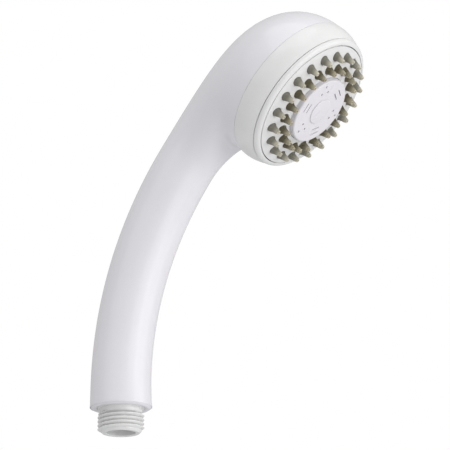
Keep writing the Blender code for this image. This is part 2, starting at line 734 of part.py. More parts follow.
def click_spring(look):
    """A bent strip on the hub whose nose sits in a notch of the valve plate."""
    foot = HUB_FRONT + GAP + STRIP_THICKNESS / 2
    nose = VALVE_BACK + NOTCH_DEPTH - GAP - STRIP_THICKNESS
    shape = [
        (-1.3 * STRIP_HALF_LENGTH, foot),
        (-0.6 * STRIP_HALF_LENGTH, foot),
        (-0.1 * STRIP_HALF_LENGTH, nose - STRIP_THICKNESS / 2),
        (0.1 * STRIP_HALF_LENGTH, nose - STRIP_THICKNESS / 2),
        (0.75 * STRIP_HALF_LENGTH, foot),
    ]
    bm = bmesh.new()
    inside = CLICK_RING - STRIP_WIDTH / 2
    points = [bm.verts.new((inside, y, z)) for y, z in shape]
    edges = [bm.edges.new(pair) for pair in zip(points, points[1:])]
    made = bmesh.ops.extrude_edge_only(bm, edges=edges)
    moved = [item for item in made["geom"] if isinstance(item, bmesh.types.BMVert)]
    bmesh.ops.translate(bm, verts=moved, vec=(STRIP_WIDTH, 0, 0))
    bmesh.ops.solidify(bm, geom=bm.faces[:], thickness=STRIP_THICKNESS)
    bm.verts.ensure_lookup_table()
    low = min(vert.co.z for vert in bm.verts)
    bmesh.ops.translate(bm, verts=bm.verts, vec=(0, 0, HUB_FRONT + GAP - low))
    strip = add_object("click_spring", bm, look["steel"], HEAD_FRAME)
    place = (CLICK_RING, -STRIP_HALF_LENGTH)
    hole = pegs([place], HUB_SCREW_RADIUS / 2 + GAP, HUB_BACK, VALVE_BACK, NOZZLE_SEGMENTS)
    cut(strip, add_tool("click_spring_hole", hole, HEAD_FRAME))
    head_back = HUB_FRONT + STRIP_THICKNESS + 2 * GAP
    profile = [
        (0, VALVE_BACK - GAP),
        (HUB_SCREW_RADIUS, VALVE_BACK - GAP),
        (HUB_SCREW_RADIUS, head_back),
        (HUB_SCREW_RADIUS / 2, head_back),
        (HUB_SCREW_RADIUS / 2, HUB_BACK),
        (0, HUB_BACK),
    ]
    screw = turned(profile, NOZZLE_SEGMENTS)
    add_object("click_spring_screw", screw, look["steel"], HEAD_FRAME @ moved_to(*place))


# Turning spray face
def selector_ring(look):
    profile = [
        (RING_INSIDE, 0),
        (RING_INSIDE + 0.2 * RIM_WIDTH, 0),
        (RING_INSIDE + 0.6 * RIM_WIDTH, -0.3 * RIM_DROP),
        (RIM_RADIUS - 0.1 * RIM_WIDTH, -0.7 * RIM_DROP),
        (RIM_RADIUS, -RIM_DROP),
        (RING_SKIRT, -RIM_DROP),
        (RING_SKIRT, VALVE_FRONT),
        (RING_INSIDE, VALVE_FRONT),
    ]
    add_object("selector_ring", turned(profile, ROUND_SEGMENTS), look["white"], HEAD_FRAME)


def face_plate(look):
    profile = []
    for i in range(4):
        radius = DISC_OPENING + (PLATE_RADIUS - DISC_OPENING) * i / 3
        profile.append((radius, face_height(radius)))
    profile += [
        (PLATE_RADIUS, VALVE_BACK),
        (PLATE_SKIRT, VALVE_BACK),
        (PLATE_SKIRT, PLATE_BACK),
        (DISC_OPENING, PLATE_BACK),
    ]
    plate = add_object("face_plate", turned(profile, ROUND_SEGMENTS), look["white"], HEAD_FRAME)
    half_step = math.pi / NOZZLE_COUNT
    places = ring_places(OUTER_RING, NOZZLE_COUNT, half_step + math.pi / 2)
    places += ring_places(INNER_RING, NOZZLE_COUNT, math.pi / 2)
    holes = pegs(places, NOZZLE_RADIUS + GAP, PLATE_BACK - GAP, FACE_CROWN + GAP, NOZZLE_SEGMENTS)
    cut(plate, add_tool("nozzle_holes", holes, HEAD_FRAME))


def nozzle_mat(name, ring, first, inside, outside, look):
    """A rubber ring behind the face plate, with a cone through each of the plate's holes."""
    groove_front = MAT_BACK + MAT_THICKNESS - MAT_WEB
    groove_half = NOZZLE_RADIUS - 2 * GAP
    profile = [
        (inside, MAT_FRONT),
        (outside, MAT_FRONT),
        (outside, MAT_BACK),
        (ring + groove_half, MAT_BACK),
        (ring + groove_half, groove_front),
        (ring - groove_half, groove_front),
        (ring - groove_half, MAT_BACK),
        (inside, MAT_BACK),
    ]
    mat = add_object(name, turned(profile, ROUND_SEGMENTS), look["olive"], HEAD_FRAME)
    base = MAT_FRONT - MAT_WEB / 2
    tip = face_height(ring) + NOZZLE_LENGTH
    cone = [
        (0, base),
        (NOZZLE_RADIUS, base),
        (NOZZLE_RADIUS, face_height(ring)),
        (NOZZLE_TIP_RADIUS, tip),
        (0, tip),
    ]
    places = ring_places(ring, NOZZLE_COUNT, first)
    cones = copies(turned(cone, NOZZLE_SEGMENTS), [moved_to(*place) for place in places])
    unite(mat, add_tool(f"{name}_cones", cones, HEAD_FRAME))
    bores = pegs(places, NOZZLE_BORE, groove_front - GAP, tip + GAP, BORE_SEGMENTS)
    cut(mat, add_tool(f"{name}_bores", bores, HEAD_FRAME))


def nozzle_mats(look):
    half_step = math.pi / NOZZLE_COUNT
    outer_edge = PLATE_SKIRT - GAP
    nozzle_mat("outer_nozzle_mat", OUTER_RING, half_step + math.pi / 2, MAT_SPLIT + GAP / 2, outer_edge, look)
    nozzle_mat("inner_nozzle_mat", INNER_RING, math.pi / 2, DISC_FOOT + GAP, MAT_SPLIT - GAP / 2, look)


def centre_disc(look):
    edge = DISC_WALL / 3
    middle = CAP_SEAT_RADIUS + DISC_WALL / 2
    profile = [
        (SHAFT_BORE, CAP_SEAT),
        (CAP_SEAT_RADIUS, CAP_SEAT),
        (CAP_SEAT_RADIUS, DISC_RISE),
        (DISC_RADIUS - edge, DISC_RISE),
        (DISC_RADIUS, DISC_RISE - edge),
        (DISC_RADIUS, MAT_FRONT),
        (DISC_FOOT, MAT_FRONT),
        (DISC_FOOT, MAT_BACK),
        (CHAMBER_RADIUS, MAT_BACK),
        (CHAMBER_RADIUS, CHAMBER_TOP),
        (middle, CHAMBER_TOP),
        (middle, DISC_MIDDLE_BACK),
        (SHAFT_BORE, DISC_MIDDLE_BACK),
    ]
    disc = add_object("centre_disc", turned(profile, ROUND_SEGMENTS), look["lilac"], HEAD_FRAME)
    jets = []
    slits = bmesh.new()
    ring = JET_RING * DISC_RADIUS
    for group in range(JET_GROUPS):
        angle = math.pi / 2 + JET_TURN + 2 * math.pi * group / JET_GROUPS
        x, y = around(ring, angle)
        for i in range(3):
            along, across = around(JET_SPREAD * ring, angle + 2 * math.pi * i / 3)
            jets.append((x + along, y + across))
        turn_to = turned_by(angle + math.pi / JET_GROUPS)
        for share in SLIT_RINGS:
            size = (2 * JET_RADIUS, SLIT_LENGTH * ring, DISC_RISE - CHAMBER_TOP + 2 * GAP)
            place = moved_to(share * ring, 0) @ raised((DISC_RISE + CHAMBER_TOP) / 2)
            block(slits, size, turn_to @ place)
    holes = pegs(jets, JET_RADIUS, CHAMBER_TOP - GAP, DISC_RISE + GAP, BORE_SEGMENTS)
    cut(disc, add_tool("disc_jets", holes, HEAD_FRAME))
    cut(disc, add_tool("disc_slits", slits, HEAD_FRAME))


def centre_cap(look):
    top = DISC_RISE + CAP_RISE
    brim = DISC_RISE + GAP
    plug_back = CAP_SEAT + GAP
    profile = [
        (0, top),
        (0.6 * CAP_RADIUS, top - 0.1 * CAP_RISE),
        (0.9 * CAP_RADIUS, top - 0.35 * CAP_RISE),
        (CAP_RADIUS, top - 0.6 * CAP_RISE),
        (CAP_RADIUS, brim),
        (CAP_PLUG_RADIUS, brim),
        (CAP_PLUG_RADIUS, plug_back),
        (CAP_PLUG_RADIUS - CAP_WALL, plug_back),
        (CAP_PLUG_RADIUS - CAP_WALL, top - 0.1 * CAP_RISE - CAP_WALL),
        (0, top - 0.1 * CAP_RISE - CAP_WALL),
    ]
    add_object("centre_cap", turned(profile, SMALL_SEGMENTS), look["lilac"], HEAD_FRAME)


def channel_plate(look):
    sleeve_top = DISC_MIDDLE_BACK - GAP
    profile = [
        (SHAFT_BORE, sleeve_top),
        (PIVOT_SLEEVE_RADIUS, sleeve_top),
        (PIVOT_SLEEVE_RADIUS, CHANNEL_FRONT),
        (WATER_PLATE_RADIUS, CHANNEL_FRONT),
        (WATER_PLATE_RADIUS, CHANNEL_BACK),
        (SHAFT_BORE, CHANNEL_BACK),
    ]
    plate = add_object("channel_plate", turned(profile, ROUND_SEGMENTS), look["grey"], HEAD_FRAME)
    start = PORT_RING - PORT_RADIUS
    width = 1.6 * PORT_RADIUS
    groove_top = CHANNEL_BACK + PLATE_THICKNESS / 2
    depth = PLATE_THICKNESS / 2 + GAP
    window = (2 * NOZZLE_RADIUS - 4 * GAP, width - 2 * GAP, 2 * PLATE_THICKNESS)
    channels = bmesh.new()
    windows = bmesh.new()
    # Each spray's port leads to these rings: both mats, the inner mat alone, or the massage chamber
    for step, outlets in ((0, (INNER_RING, OUTER_RING)), (1, (INNER_RING,)), (-1, (PORT_RING,))):
        turn_to = turned_by(SEAL_ANGLE + step * SPRAY_STEP)
        end = outlets[-1] + NOZZLE_RADIUS
        place = moved_to((start + end) / 2, 0) @ raised(groove_top - depth / 2)
        block(channels, (end - start, width, depth), turn_to @ place)
        for outlet in outlets:
            block(windows, window, turn_to @ moved_to(outlet, 0) @ raised(CHANNEL_FRONT))
    cut(plate, add_tool("channels", channels, HEAD_FRAME))
    cut(plate, add_tool("channel_windows", windows, HEAD_FRAME))


def valve_plate(look):
    profile = tube_profile(SHAFT_BORE, WATER_PLATE_RADIUS, VALVE_BACK, VALVE_FRONT)
    plate = add_object("valve_plate", turned(profile, ROUND_SEGMENTS), look["grey"], HEAD_FRAME)
    lug = tube_profile(STOP_INSIDE, STOP_OUTSIDE, HUB_FRONT + 2 * GAP, VALVE_BACK + GAP)
    stop = turned(lug, 3, angle=STOP_WIDTH)
    unite(plate, add_tool("stop_lug", stop, HEAD_FRAME @ turned_by((math.pi - STOP_WIDTH) / 2)))
    steps = [step * SPRAY_STEP for step in (-1, 0, 1)]
    ports = [around(PORT_RING, SEAL_ANGLE + step) for step in steps]
    cut(plate, add_tool("ports", pegs(ports, PORT_RADIUS, VALVE_BACK - GAP, VALVE_FRONT + GAP), HEAD_FRAME))
    half = STRIP_WIDTH / 2 + 2 * GAP
    roller = turned(plug_profile(NOTCH_RADIUS, -half, half), SMALL_SEGMENTS)
    centre = Matrix.Translation((CLICK_RING, 0, VALVE_BACK + NOTCH_DEPTH - NOTCH_RADIUS))
    lie = centre @ Matrix.Rotation(math.pi / 2, 4, "Y")
    notches = copies(roller, [turned_by(step) @ lie for step in steps])
    cut(plate, add_tool("click_notches", notches, HEAD_FRAME))


def massage_turbine(look):
    """The rotor that interrupts the centre jets: vanes on a sleeve, and a shutter over half the circle."""
    inside = PIVOT_SLEEVE_RADIUS + GAP
    sleeve = inside + DISC_WALL / 2
    outside = CHAMBER_RADIUS - 2 * GAP
    top = TURBINE_BACK + TURBINE_HEIGHT
    shutter_back = top - VANE_THICKNESS
    rotor = add_object(
        "massage_turbine",
        turned(tube_profile(inside, sleeve, TURBINE_BACK, top), SMALL_SEGMENTS),
        look["grey"],
        HEAD_FRAME,
    )
    vanes = bmesh.new()
    low = TURBINE_BACK + GAP
    size = (outside - sleeve + GAP, VANE_THICKNESS, shutter_back + GAP - low)
    for i in range(TURBINE_VANES):
        turn_to = turned_by(2 * math.pi * i / TURBINE_VANES)
        place = ((outside + sleeve - GAP) / 2, 0, (shutter_back + GAP + low) / 2)
        block(vanes, size, turn_to @ Matrix.Translation(place))
    unite(rotor, add_tool("vanes", vanes, HEAD_FRAME))
    outline = tube_profile(sleeve - GAP, outside, shutter_back, top - GAP)
    shutter = turned(outline, SMALL_SEGMENTS, angle=math.radians(190))
    unite(rotor, add_tool("shutter", shutter, HEAD_FRAME @ turned_by(-math.radians(5))))


def main():
    clear_scene()
    look = finishes()
    for make in (
        handle_shell,
        head_collar,
        inlet_connector,
        flow_regulator,
        water_tube,
        flow_hub,
        hub_screws,
        outlet_pieces,
        pivot,
        click_spring,
        selector_ring,
        face_plate,
        nozzle_mats,
        centre_disc,
        centre_cap,
        channel_plate,
        valve_plate,
        massage_turbine,
    ):
        make(look)


main()
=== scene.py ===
"""Handheld shower head: the looks of the handset, its turning spray face and its threaded inlet.

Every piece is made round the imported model, in its frame and in metres. The origin is the centre of the
inlet's end face, and the object is symmetric about the plane X = 0.
"""

import json
import math

import bmesh
import bpy
from bpy.props import FloatProperty, FloatVectorProperty, IntProperty, PointerProperty
from mathutils import Matrix, Vector


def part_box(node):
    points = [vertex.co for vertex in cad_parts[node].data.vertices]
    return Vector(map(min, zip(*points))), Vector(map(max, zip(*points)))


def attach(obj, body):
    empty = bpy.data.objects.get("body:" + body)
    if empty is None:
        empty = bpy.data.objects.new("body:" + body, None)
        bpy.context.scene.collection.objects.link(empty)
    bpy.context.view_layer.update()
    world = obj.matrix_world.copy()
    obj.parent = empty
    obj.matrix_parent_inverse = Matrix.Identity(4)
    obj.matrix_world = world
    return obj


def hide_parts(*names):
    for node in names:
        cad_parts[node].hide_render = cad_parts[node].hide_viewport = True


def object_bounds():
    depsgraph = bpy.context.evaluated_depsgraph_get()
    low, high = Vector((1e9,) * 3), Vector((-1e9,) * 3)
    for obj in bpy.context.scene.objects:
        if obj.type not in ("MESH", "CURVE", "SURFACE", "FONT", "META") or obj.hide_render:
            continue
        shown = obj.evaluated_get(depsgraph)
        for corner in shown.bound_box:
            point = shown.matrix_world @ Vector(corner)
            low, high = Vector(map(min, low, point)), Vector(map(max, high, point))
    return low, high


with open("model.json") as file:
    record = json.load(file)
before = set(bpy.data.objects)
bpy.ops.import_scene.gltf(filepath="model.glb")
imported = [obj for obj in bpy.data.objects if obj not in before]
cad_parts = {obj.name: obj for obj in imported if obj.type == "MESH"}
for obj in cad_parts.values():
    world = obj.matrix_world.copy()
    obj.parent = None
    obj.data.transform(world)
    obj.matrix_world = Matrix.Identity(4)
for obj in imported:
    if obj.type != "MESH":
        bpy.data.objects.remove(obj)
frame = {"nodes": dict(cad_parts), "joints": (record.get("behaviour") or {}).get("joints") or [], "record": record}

bl_info = {
    "name": "Handheld Shower Head",
    "version": (1, 0, 0),
    "blender": (4, 5, 0),
    "location": "3D View > Sidebar > Shower Head",
    "description": "Builds the looks of a handheld shower head round its packed model",
    "category": "Object",
}

CAD_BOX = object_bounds()

# The frame of the head: Z along the spray axis, Y up the face
SPRAY_JOINT = next(joint for joint in frame["joints"] if joint["name"] == "spray_select")
FACE_CENTRE = Vector(SPRAY_JOINT["pos_m"])
SPRAY_AXIS = Vector(SPRAY_JOINT["axis"]).normalized()
ACROSS = Vector((1, 0, 0))
FACE_UP = SPRAY_AXIS.cross(ACROSS)
HEAD_TURN = Matrix((ACROSS, FACE_UP, SPRAY_AXIS)).transposed().to_4x4()
HEAD_FRAME = Matrix.Translation(FACE_CENTRE) @ HEAD_TURN
HANDLE_FOOT = Vector((0, 0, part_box("handle_shell")[0].z))

# Fineness
SHELL_SEGMENTS = 112
HANDLE_STEPS = 40
HEAD_STEPS = 56
LINING_STEPS = 12
LIP_STEPS = 8
RING_SEGMENTS = 192
CURVE_STEPS = 24
NOZZLE_SEGMENTS = 28
JET_SEGMENTS = 20
THREAD_SEGMENTS = 96


# Sizes and colours
def length(name, description, default):
    return FloatProperty(
        name=name, description=description, default=default, min=0, unit="LENGTH", precision=5
    )


def share(name, description, default):
    return FloatProperty(name=name, description=description, default=default, min=0, max=3, subtype="FACTOR")


def colour(name, description, default):
    return FloatVectorProperty(
        name=name, description=description, default=default, size=3, min=0, max=1, subtype="COLOR"
    )


class HandsetSizes(bpy.types.PropertyGroup):
    end_radius: length("End Radius", "Radius of the handle at its lower end", 0.0140)
    waist_radius: length("Waist Radius", "Radius of the handle half way up", 0.0134)
    neck_radius: length("Neck Radius", "Radius where the handle meets the head", 0.0136)
    neck_lean: FloatProperty(
        name="Neck Lean",
        description="How far the neck leans forward",
        default=math.radians(34.6),
        unit="ROTATION",
    )
    chin_reach: length("Chin Reach", "From the neck forward to the lowest point of the head's seam", 0.0279)
    chin_rise: length("Chin Rise", "From the neck up to the lowest point of the head's seam", 0.0024)
    foot_pull: share("Foot Pull", "Straightness of the handle at its end", 0.087)
    neck_pull: share("Neck Pull", "Straightness of the handle at the neck", 0.57)
    rear_lead: share("Rear Lead", "Straightness of the head's back above the neck", 2.25)
    rear_land: share("Rear Land", "Straightness of the head's back at the seam", 0.54)
    front_lead: share("Front Lead", "Straightness of the head's front above the neck", 0.71)
    front_land: share("Front Land", "Straightness of the head's front at the seam", 0.28)
    wall: length("Wall", "Thickness of the shell", 0.0025)
    end_rounding: length("End Rounding", "Radius of the handle's lower edge", 0.0019)


class FaceSizes(bpy.types.PropertyGroup):
    radius: length("Face Radius", "Radius of the spray face inside its rim", 0.0312)
    crown: length("Crown", "How much the face plate would rise to its middle", 0.0041)
    rim_width: length("Rim Width", "Width of the turning rim", 0.0025)
    rim_drop: length("Rim Drop", "How far the rim falls back to the collar", 0.0022)
    gap: length("Gap", "Clearance between the rim and its neighbours", 0.0004)
    seam_depth: length("Seam Depth", "From the rim back to the seam between collar and shell", 0.0130)
    seam_swell: length("Seam Swell", "How much wider the seam is than the rim", 0.0018)
    seam_gap: length("Seam Gap", "Clearance at the seam between collar and shell", 0.00006)
    collar_bulge: length("Collar Bulge", "How far the collar's side stands out", 0.0008)
    skirt_depth: length("Skirt Depth", "How far the rim and the plate reach into the head", 0.0055)
    nozzle_count: IntProperty(name="Nozzles", description="Nozzles in each of the two rings", default=20, min=3)
    nozzle_margin: length("Nozzle Margin", "From the rim in to the outer ring of nozzles", 0.0048)
    nozzle_spacing: length("Ring Spacing", "From the outer to the inner ring of nozzles", 0.0058)
    nozzle_radius: length("Nozzle Radius", "Radius of a nozzle at the plate", 0.0021)
    nozzle_shoulder: length("Nozzle Shoulder", "Radius of a nozzle below its tip", 0.00128)
    nozzle_tip: length("Nozzle Tip", "Radius of a nozzle's tip", 0.00096)
    nozzle_length: length("Nozzle Length", "How far a nozzle stands out of the plate", 0.0046)
    nozzle_bore: length("Nozzle Bore", "Radius of a nozzle's bore", 0.00042)
    disc_margin: length("Disc Margin", "From the inner ring of nozzles in to the disc", 0.00425)
    disc_rise: length("Disc Rise", "How far the disc stands out of the rim", 0.0053)
    disc_rounding: length("Disc Rounding", "Radius of the disc's edge", 0.0009)
    jet_radius: length("Jet Radius", "Radius of a jet", 0.0006)
    slit_radius: length("Slit Radius", "Half a slit's width", 0.00032)
    cap_radius: length("Cap Radius", "Radius of the middle cap", 0.0063)
    cap_rise: length("Cap Rise", "How far the cap stands out of the disc", 0.0011)
    cap_rounding: length("Cap Rounding", "Radius of the cap's edge", 0.0004)


class InletSizes(bpy.types.PropertyGroup):
    thread_radius: length("Thread Radius", "Outer radius of the G1/2 thread", 0.0104775)
    thread_pitch: length("Thread Pitch", "Distance from one turn of the thread to the next", 0.001814)
    thread_depth: length("Thread Depth", "Depth of the thread", 0.001162)
    thread_length: length("Thread Length", "Length of the threaded end", 0.0097)
    neck_radius: length("Neck Radius", "Radius between the thread and the handle", 0.00945)
    recess: length("Recess", "How far inside the handle the shoulder sits", 0.0003)
    shoulder_length: length("Shoulder Length", "Length of the shoulder inside the handle", 0.0052)
    stem_radius: length("Stem Radius", "Radius of the stem inside the handle", 0.0088)
    bore: length("Bore", "Radius of the inlet's bore", 0.0066)
    bore_depth: length("Bore Depth", "Depth of the wide bore", 0.0100)
    lip: length("Lip", "Chamfer at the inlet's end", 0.0009)
    clearance: length("Clearance", "Gap round the seals and the water tube", 0.0003)


class Colours(bpy.types.PropertyGroup):
    shell: colour("Shell", "Glossy white of the handle and head", (0.862, 0.852, 0.89))
    face: colour("Face", "Glossy white of the collar, rim and plate", (0.865, 0.865, 0.86))
    disc: colour("Disc", "Cool white of the centre disc and cap", (0.848, 0.828, 0.87))
    # The nozzle colours are painted light on one rubber: lighter on the outer ring, darker on the inner ring for the
    # shade of the disc, with painted shade at each nozzle's foot and a painted highlight towards its tip.
    outer_lit_ring_foot_shade: colour("Outer Nozzle", "Grey-green rubber of the outer nozzles", (0.225, 0.218, 0.178))
    outer_lit_ring_tip_highlight: colour("Outer Tip", "Paler rubber at the outer nozzles' tips", (0.72, 0.68, 0.55))
    inner_shaded_ring_foot_shade: colour("Inner Nozzle", "Olive rubber of the inner nozzles", (0.13, 0.115, 0.066))
    inner_shaded_ring_tip_highlight: colour("Inner Tip", "Paler rubber at the inner nozzles' tips", (0.6, 0.55, 0.4))
    inner: colour("Inner Plastic", "Grey plastic of the water parts", (0.5, 0.52, 0.55))
    # The regulator's dark grey is painted shade: it stands for the shade deep inside the bore.
    regulator: colour("Regulator", "Dark grey plastic of the flow regulator", (0.22, 0.21, 0.2))
    seal: colour("Seal", "Black rubber of the seals", (0.02, 0.02, 0.022))
    steel: colour("Steel", "Stainless steel of screws and springs", (0.62, 0.61, 0.6))
    brass: colour("Brass", "Brass of the pivot's insert", (0.74, 0.55, 0.24))
    floor: colour("Floor", "Pale floor", (0.86, 0.86, 0.87))


# Materials
def new_material(name):
    material = bpy.data.materials.new(name)
    material.use_nodes = True
    return material, material.node_tree.nodes["Principled BSDF"]


def object_noise(material, scale, detail=3.0):
    """A noise in the piece's own coordinates, this many patches to the metre."""
    nodes, links = material.node_tree.nodes, material.node_tree.links
    place = nodes.new("ShaderNodeTexCoord")
    noise = nodes.new("ShaderNodeTexNoise")
    noise.inputs["Scale"].default_value = scale
    noise.inputs["Detail"].default_value = detail
    links.new(place.outputs["Object"], noise.inputs["Vector"])
    return noise.outputs["Fac"]


def remap(material, value, low, high, start=0.3, end=0.7):
    """The value between start and end brought to low and high."""
    node = material.node_tree.nodes.new("ShaderNodeMapRange")
    node.inputs["From Min"].default_value = start
    node.inputs["From Max"].default_value = end
    node.inputs["To Min"].default_value = low
    node.inputs["To Max"].default_value = high
    material.node_tree.links.new(value, node.inputs["Value"])
    return node.outputs["Result"]


def blended(material, share_of_second, first, second):
    """A colour between two, each a tuple or another node's output."""
    nodes, links = material.node_tree.nodes, material.node_tree.links
    mix = nodes.new("ShaderNodeMix")
    mix.data_type = "RGBA"
    links.new(share_of_second, mix.inputs["Factor"])
    for socket, value in ((mix.inputs["A"], first), (mix.inputs["B"], second)):
        if isinstance(value, tuple):
            socket.default_value = (*value, 1)
        else:
            links.new(value, socket)
    return mix.outputs["Result"]


def bump(material, shader, height, distance):
    """A fine relief on the surface, this deep in metres."""
    node = material.node_tree.nodes.new("ShaderNodeBump")
    node.inputs["Strength"].default_value = 1
    node.inputs["Distance"].default_value = distance
    material.node_tree.links.new(height, node.inputs["Height"])
    material.node_tree.links.new(node.outputs["Normal"], shader.inputs["Normal"])


def scaled(tint, factor):
    return tuple(min(1, channel * factor) for channel in tint)


def moulded_plastic(name, tint, smooth, rough, coat=0.0, peel=0.0000012):
    """Moulded plastic: a faint unevenness of colour and gloss, and a very shallow orange peel."""
    material, shader = new_material(name)
    links = material.node_tree.links
    cloud = object_noise(material, 55)
    links.new(blended(material, cloud, scaled(tint, 0.975), scaled(tint, 1.02)), shader.inputs["Base Color"])
    smudge = object_noise(material, 160, 6)
    links.new(remap(material, smudge, smooth, rough), shader.inputs["Roughness"])
    bump(material, shader, object_noise(material, 900, 2), peel)
    shader.inputs["Coat Weight"].default_value = coat
    shader.inputs["Coat Roughness"].default_value = 0.08
    shader.inputs["IOR"].default_value = 1.49
    return material


def nozzle_rubber(name, tint, lit_tip_tint):
    """Silicone rubber with a fine grain, darker at the foot of each nozzle as painted shade where it stands in the
    plate, and paler towards its tip as a painted highlight.
    """
    material, shader = new_material(name)
    nodes, links = material.node_tree.nodes, material.node_tree.links
    rise = nodes.new("ShaderNodeAttribute")
    rise.attribute_name = "rise"
    # Blend from the foot colour to the tip colour: painted shade at the foot, painted highlight towards the tip.
    along = remap(material, rise.outputs["Fac"], 0, 1, 0.35, 1)
    fade = blended(material, along, tuple(tint), tuple(lit_tip_tint))
    mottle = object_noise(material, 420, 4)
    speckled = blended(material, remap(material, mottle, 0, 0.35), fade, scaled(tint, 0.7))
    links.new(speckled, shader.inputs["Base Color"])
    links.new(remap(material, object_noise(material, 700), 0.42, 0.6), shader.inputs["Roughness"])
    bump(material, shader, object_noise(material, 2600, 2), 0.00001)
    shader.inputs["Subsurface Weight"].default_value = 0.12
    shader.inputs["Subsurface Radius"].default_value = (0.0012, 0.001, 0.0006)
    shader.inputs["Subsurface Scale"].default_value = 1
    shader.inputs["IOR"].default_value = 1.41
    return material


def seal_rubber(name, tint):
    material, shader = new_material(name)
    links = material.node_tree.links
    bloom = object_noise(material, 600, 5)
    links.new(blended(material, bloom, tuple(tint), scaled(tint, 2.6)), shader.inputs["Base Color"])
    links.new(remap(material, object_noise(material, 900), 0.5, 0.75), shader.inputs["Roughness"])
    bump(material, shader, bloom, 0.00001)
    return material


def turned_metal(name, tint, smooth, rough):
    """Metal with fine streaks from its making."""
    material, shader = new_material(name)
    nodes, links = material.node_tree.nodes, material.node_tree.links
    streaks = nodes.new("ShaderNodeTexNoise")
    place = nodes.new("ShaderNodeTexCoord")
    stretch = nodes.new("ShaderNodeMapping")
    stretch.inputs["Scale"].default_value = (300, 300, 6000)
    streaks.inputs["Scale"].default_value = 1
    links.new(place.outputs["Object"], stretch.inputs["Vector"])
    links.new(stretch.outputs["Vector"], streaks.inputs["Vector"])
    fac = streaks.outputs["Fac"]
    links.new(blended(material, fac, scaled(tint, 0.9), scaled(tint, 1.08)), shader.inputs["Base Color"])
    links.new(remap(material, fac, smooth, rough), shader.inputs["Roughness"])
    bump(material, shader, fac, 0.000003)
    shader.inputs["Metallic"].default_value = 1
    return material


def finish_of(context, slot):
    """The finish of this kind, made the first time it is asked for."""
    name = f"{slot}_finish"
    found = bpy.data.materials.get(name)
    if found:
        return found
    colours = context.scene.shower_colours
    makers = {
        "white_plastic": lambda: moulded_plastic(name, colours.shell, 0.235, 0.265, coat=0.25),
        "face_plastic": lambda: moulded_plastic(name, colours.face, 0.235, 0.265, coat=0.2),
        "cool_white_plastic": lambda: moulded_plastic(name, colours.disc, 0.26, 0.38, coat=0.15),
        # The outer and inner rubber are a lit and a shaded copy of one rubber, painted for the light on each ring.
        "outer_rubber": lambda: nozzle_rubber(name, colours.outer_lit_ring_foot_shade, colours.outer_lit_ring_tip_highlight),
        "inner_rubber": lambda: nozzle_rubber(name, colours.inner_shaded_ring_foot_shade, colours.inner_shaded_ring_tip_highlight),
        "inner_plastic": lambda: moulded_plastic(name, colours.inner, 0.4, 0.55, peel=0.000006),
        # The regulator's dark grey is painted shade for the inside of the bore.
        "regulator_plastic": lambda: moulded_plastic(name, colours.regulator, 0.35, 0.5, peel=0.000006),
        "seal_rubber": lambda: seal_rubber(name, colours.seal),
        "stainless_steel": lambda: turned_metal(name, colours.steel, 0.2, 0.36),
        "brass": lambda: turned_metal(name, colours.brass, 0.22, 0.4),
    }
    return makers[slot]()


# Mesh tools
def turned(profile, segments, angle=math.tau, climb=0.0):
    """(radius, height) points turned about Z from the XZ plane, climbing this far on the way.

    A profile whose ends are both at radius 0 closes there by itself, and any other is a loop.
    """
    bm = bmesh.new()
    points = [bm.verts.new((radius, 0, height)) for radius, height in profile]
    edges = [bm.edges.new(pair) for pair in zip(points, points[1:])]
    if profile[0][0] or profile[-1][0]:
        edges.append(bm.edges.new((points[-1], points[0])))
    whole = climb == 0 and angle > math.tau - 1e-6
    bmesh.ops.spin(
        bm,
        geom=points + edges,
        axis=(0, 0, 1),
        angle=angle,
        steps=segments,
        use_merge=whole,
        dvec=(0, 0, climb / segments),
    )
    if not whole:
        bmesh.ops.holes_fill(bm, edges=[edge for edge in bm.edges if edge.is_boundary])
    bmesh.ops.remove_doubles(bm, verts=bm.verts, dist=1e-7)
    return bm


def copies(bm, places):
    """The bmesh repeated at each of these matrices, in one bmesh."""
    mesh = bpy.data.meshes.new("copied")
    bm.to_mesh(mesh)
    bm.free()
    repeated = bmesh.new()
    for place in places:
        repeated.from_mesh(mesh)
        repeated.verts.ensure_lookup_table()
        bmesh.ops.transform(repeated, matrix=place, verts=repeated.verts[-len(mesh.vertices) :])
    bpy.data.meshes.remove(mesh)
    return repeated


def around(radius, angle):
    return radius * math.cos(angle), radius * math.sin(angle)


def moved_to(x, y, z=0.0):
    return Matrix.Translation((x, y, z))


def ring_places(radius, count, first=0.0):
    return [moved_to(*around(radius, first + math.tau * i / count)) for i in range(count)]


def arc(centre, radius, start, end, steps=6):
    """Points of an arc about (radius, height), from start to end in degrees."""
    points = []
    for i in range(steps + 1):
        angle = math.radians(start + (end - start) * i / steps)
        points.append((centre[0] + radius * math.cos(angle), centre[1] + radius * math.sin(angle)))
    return points


def tube_profile(inside, outside, low, high):
    return [(inside, low), (outside, low), (outside, high), (inside, high)]


def plug_profile(radius, low, high):
    return [(0, low), (radius, low), (radius, high), (0, high)]


def skinned(rings, segments):
    """A closed wall through these (matrix, radius) circles, the last joined to the first."""
    bm = bmesh.new()
    loops = []
    for matrix, radius in rings:
        made = bmesh.ops.create_circle(bm, segments=segments, radius=radius, matrix=matrix)
        loops.append(list({edge for vert in made["verts"] for edge in vert.link_edges}))
    for loop, after in zip(loops, loops[1:] + loops[:1]):
        bmesh.ops.bridge_loops(bm, edges=loop + after)
    return bm


def mesh_object(name, bm, matrix):
    """An object at the origin, with its place in its mesh."""
    bmesh.ops.transform(bm, matrix=matrix, verts=bm.verts)
    bmesh.ops.remove_doubles(bm, verts=bm.verts, dist=1e-7)
    bmesh.ops.recalc_face_normals(bm, faces=bm.faces)
    mesh = bpy.data.meshes.new(name)
    bm.to_mesh(mesh)
    bm.free()
    obj = bpy.data.objects.new(name, mesh)
    bpy.context.scene.collection.objects.link(obj)
    return obj


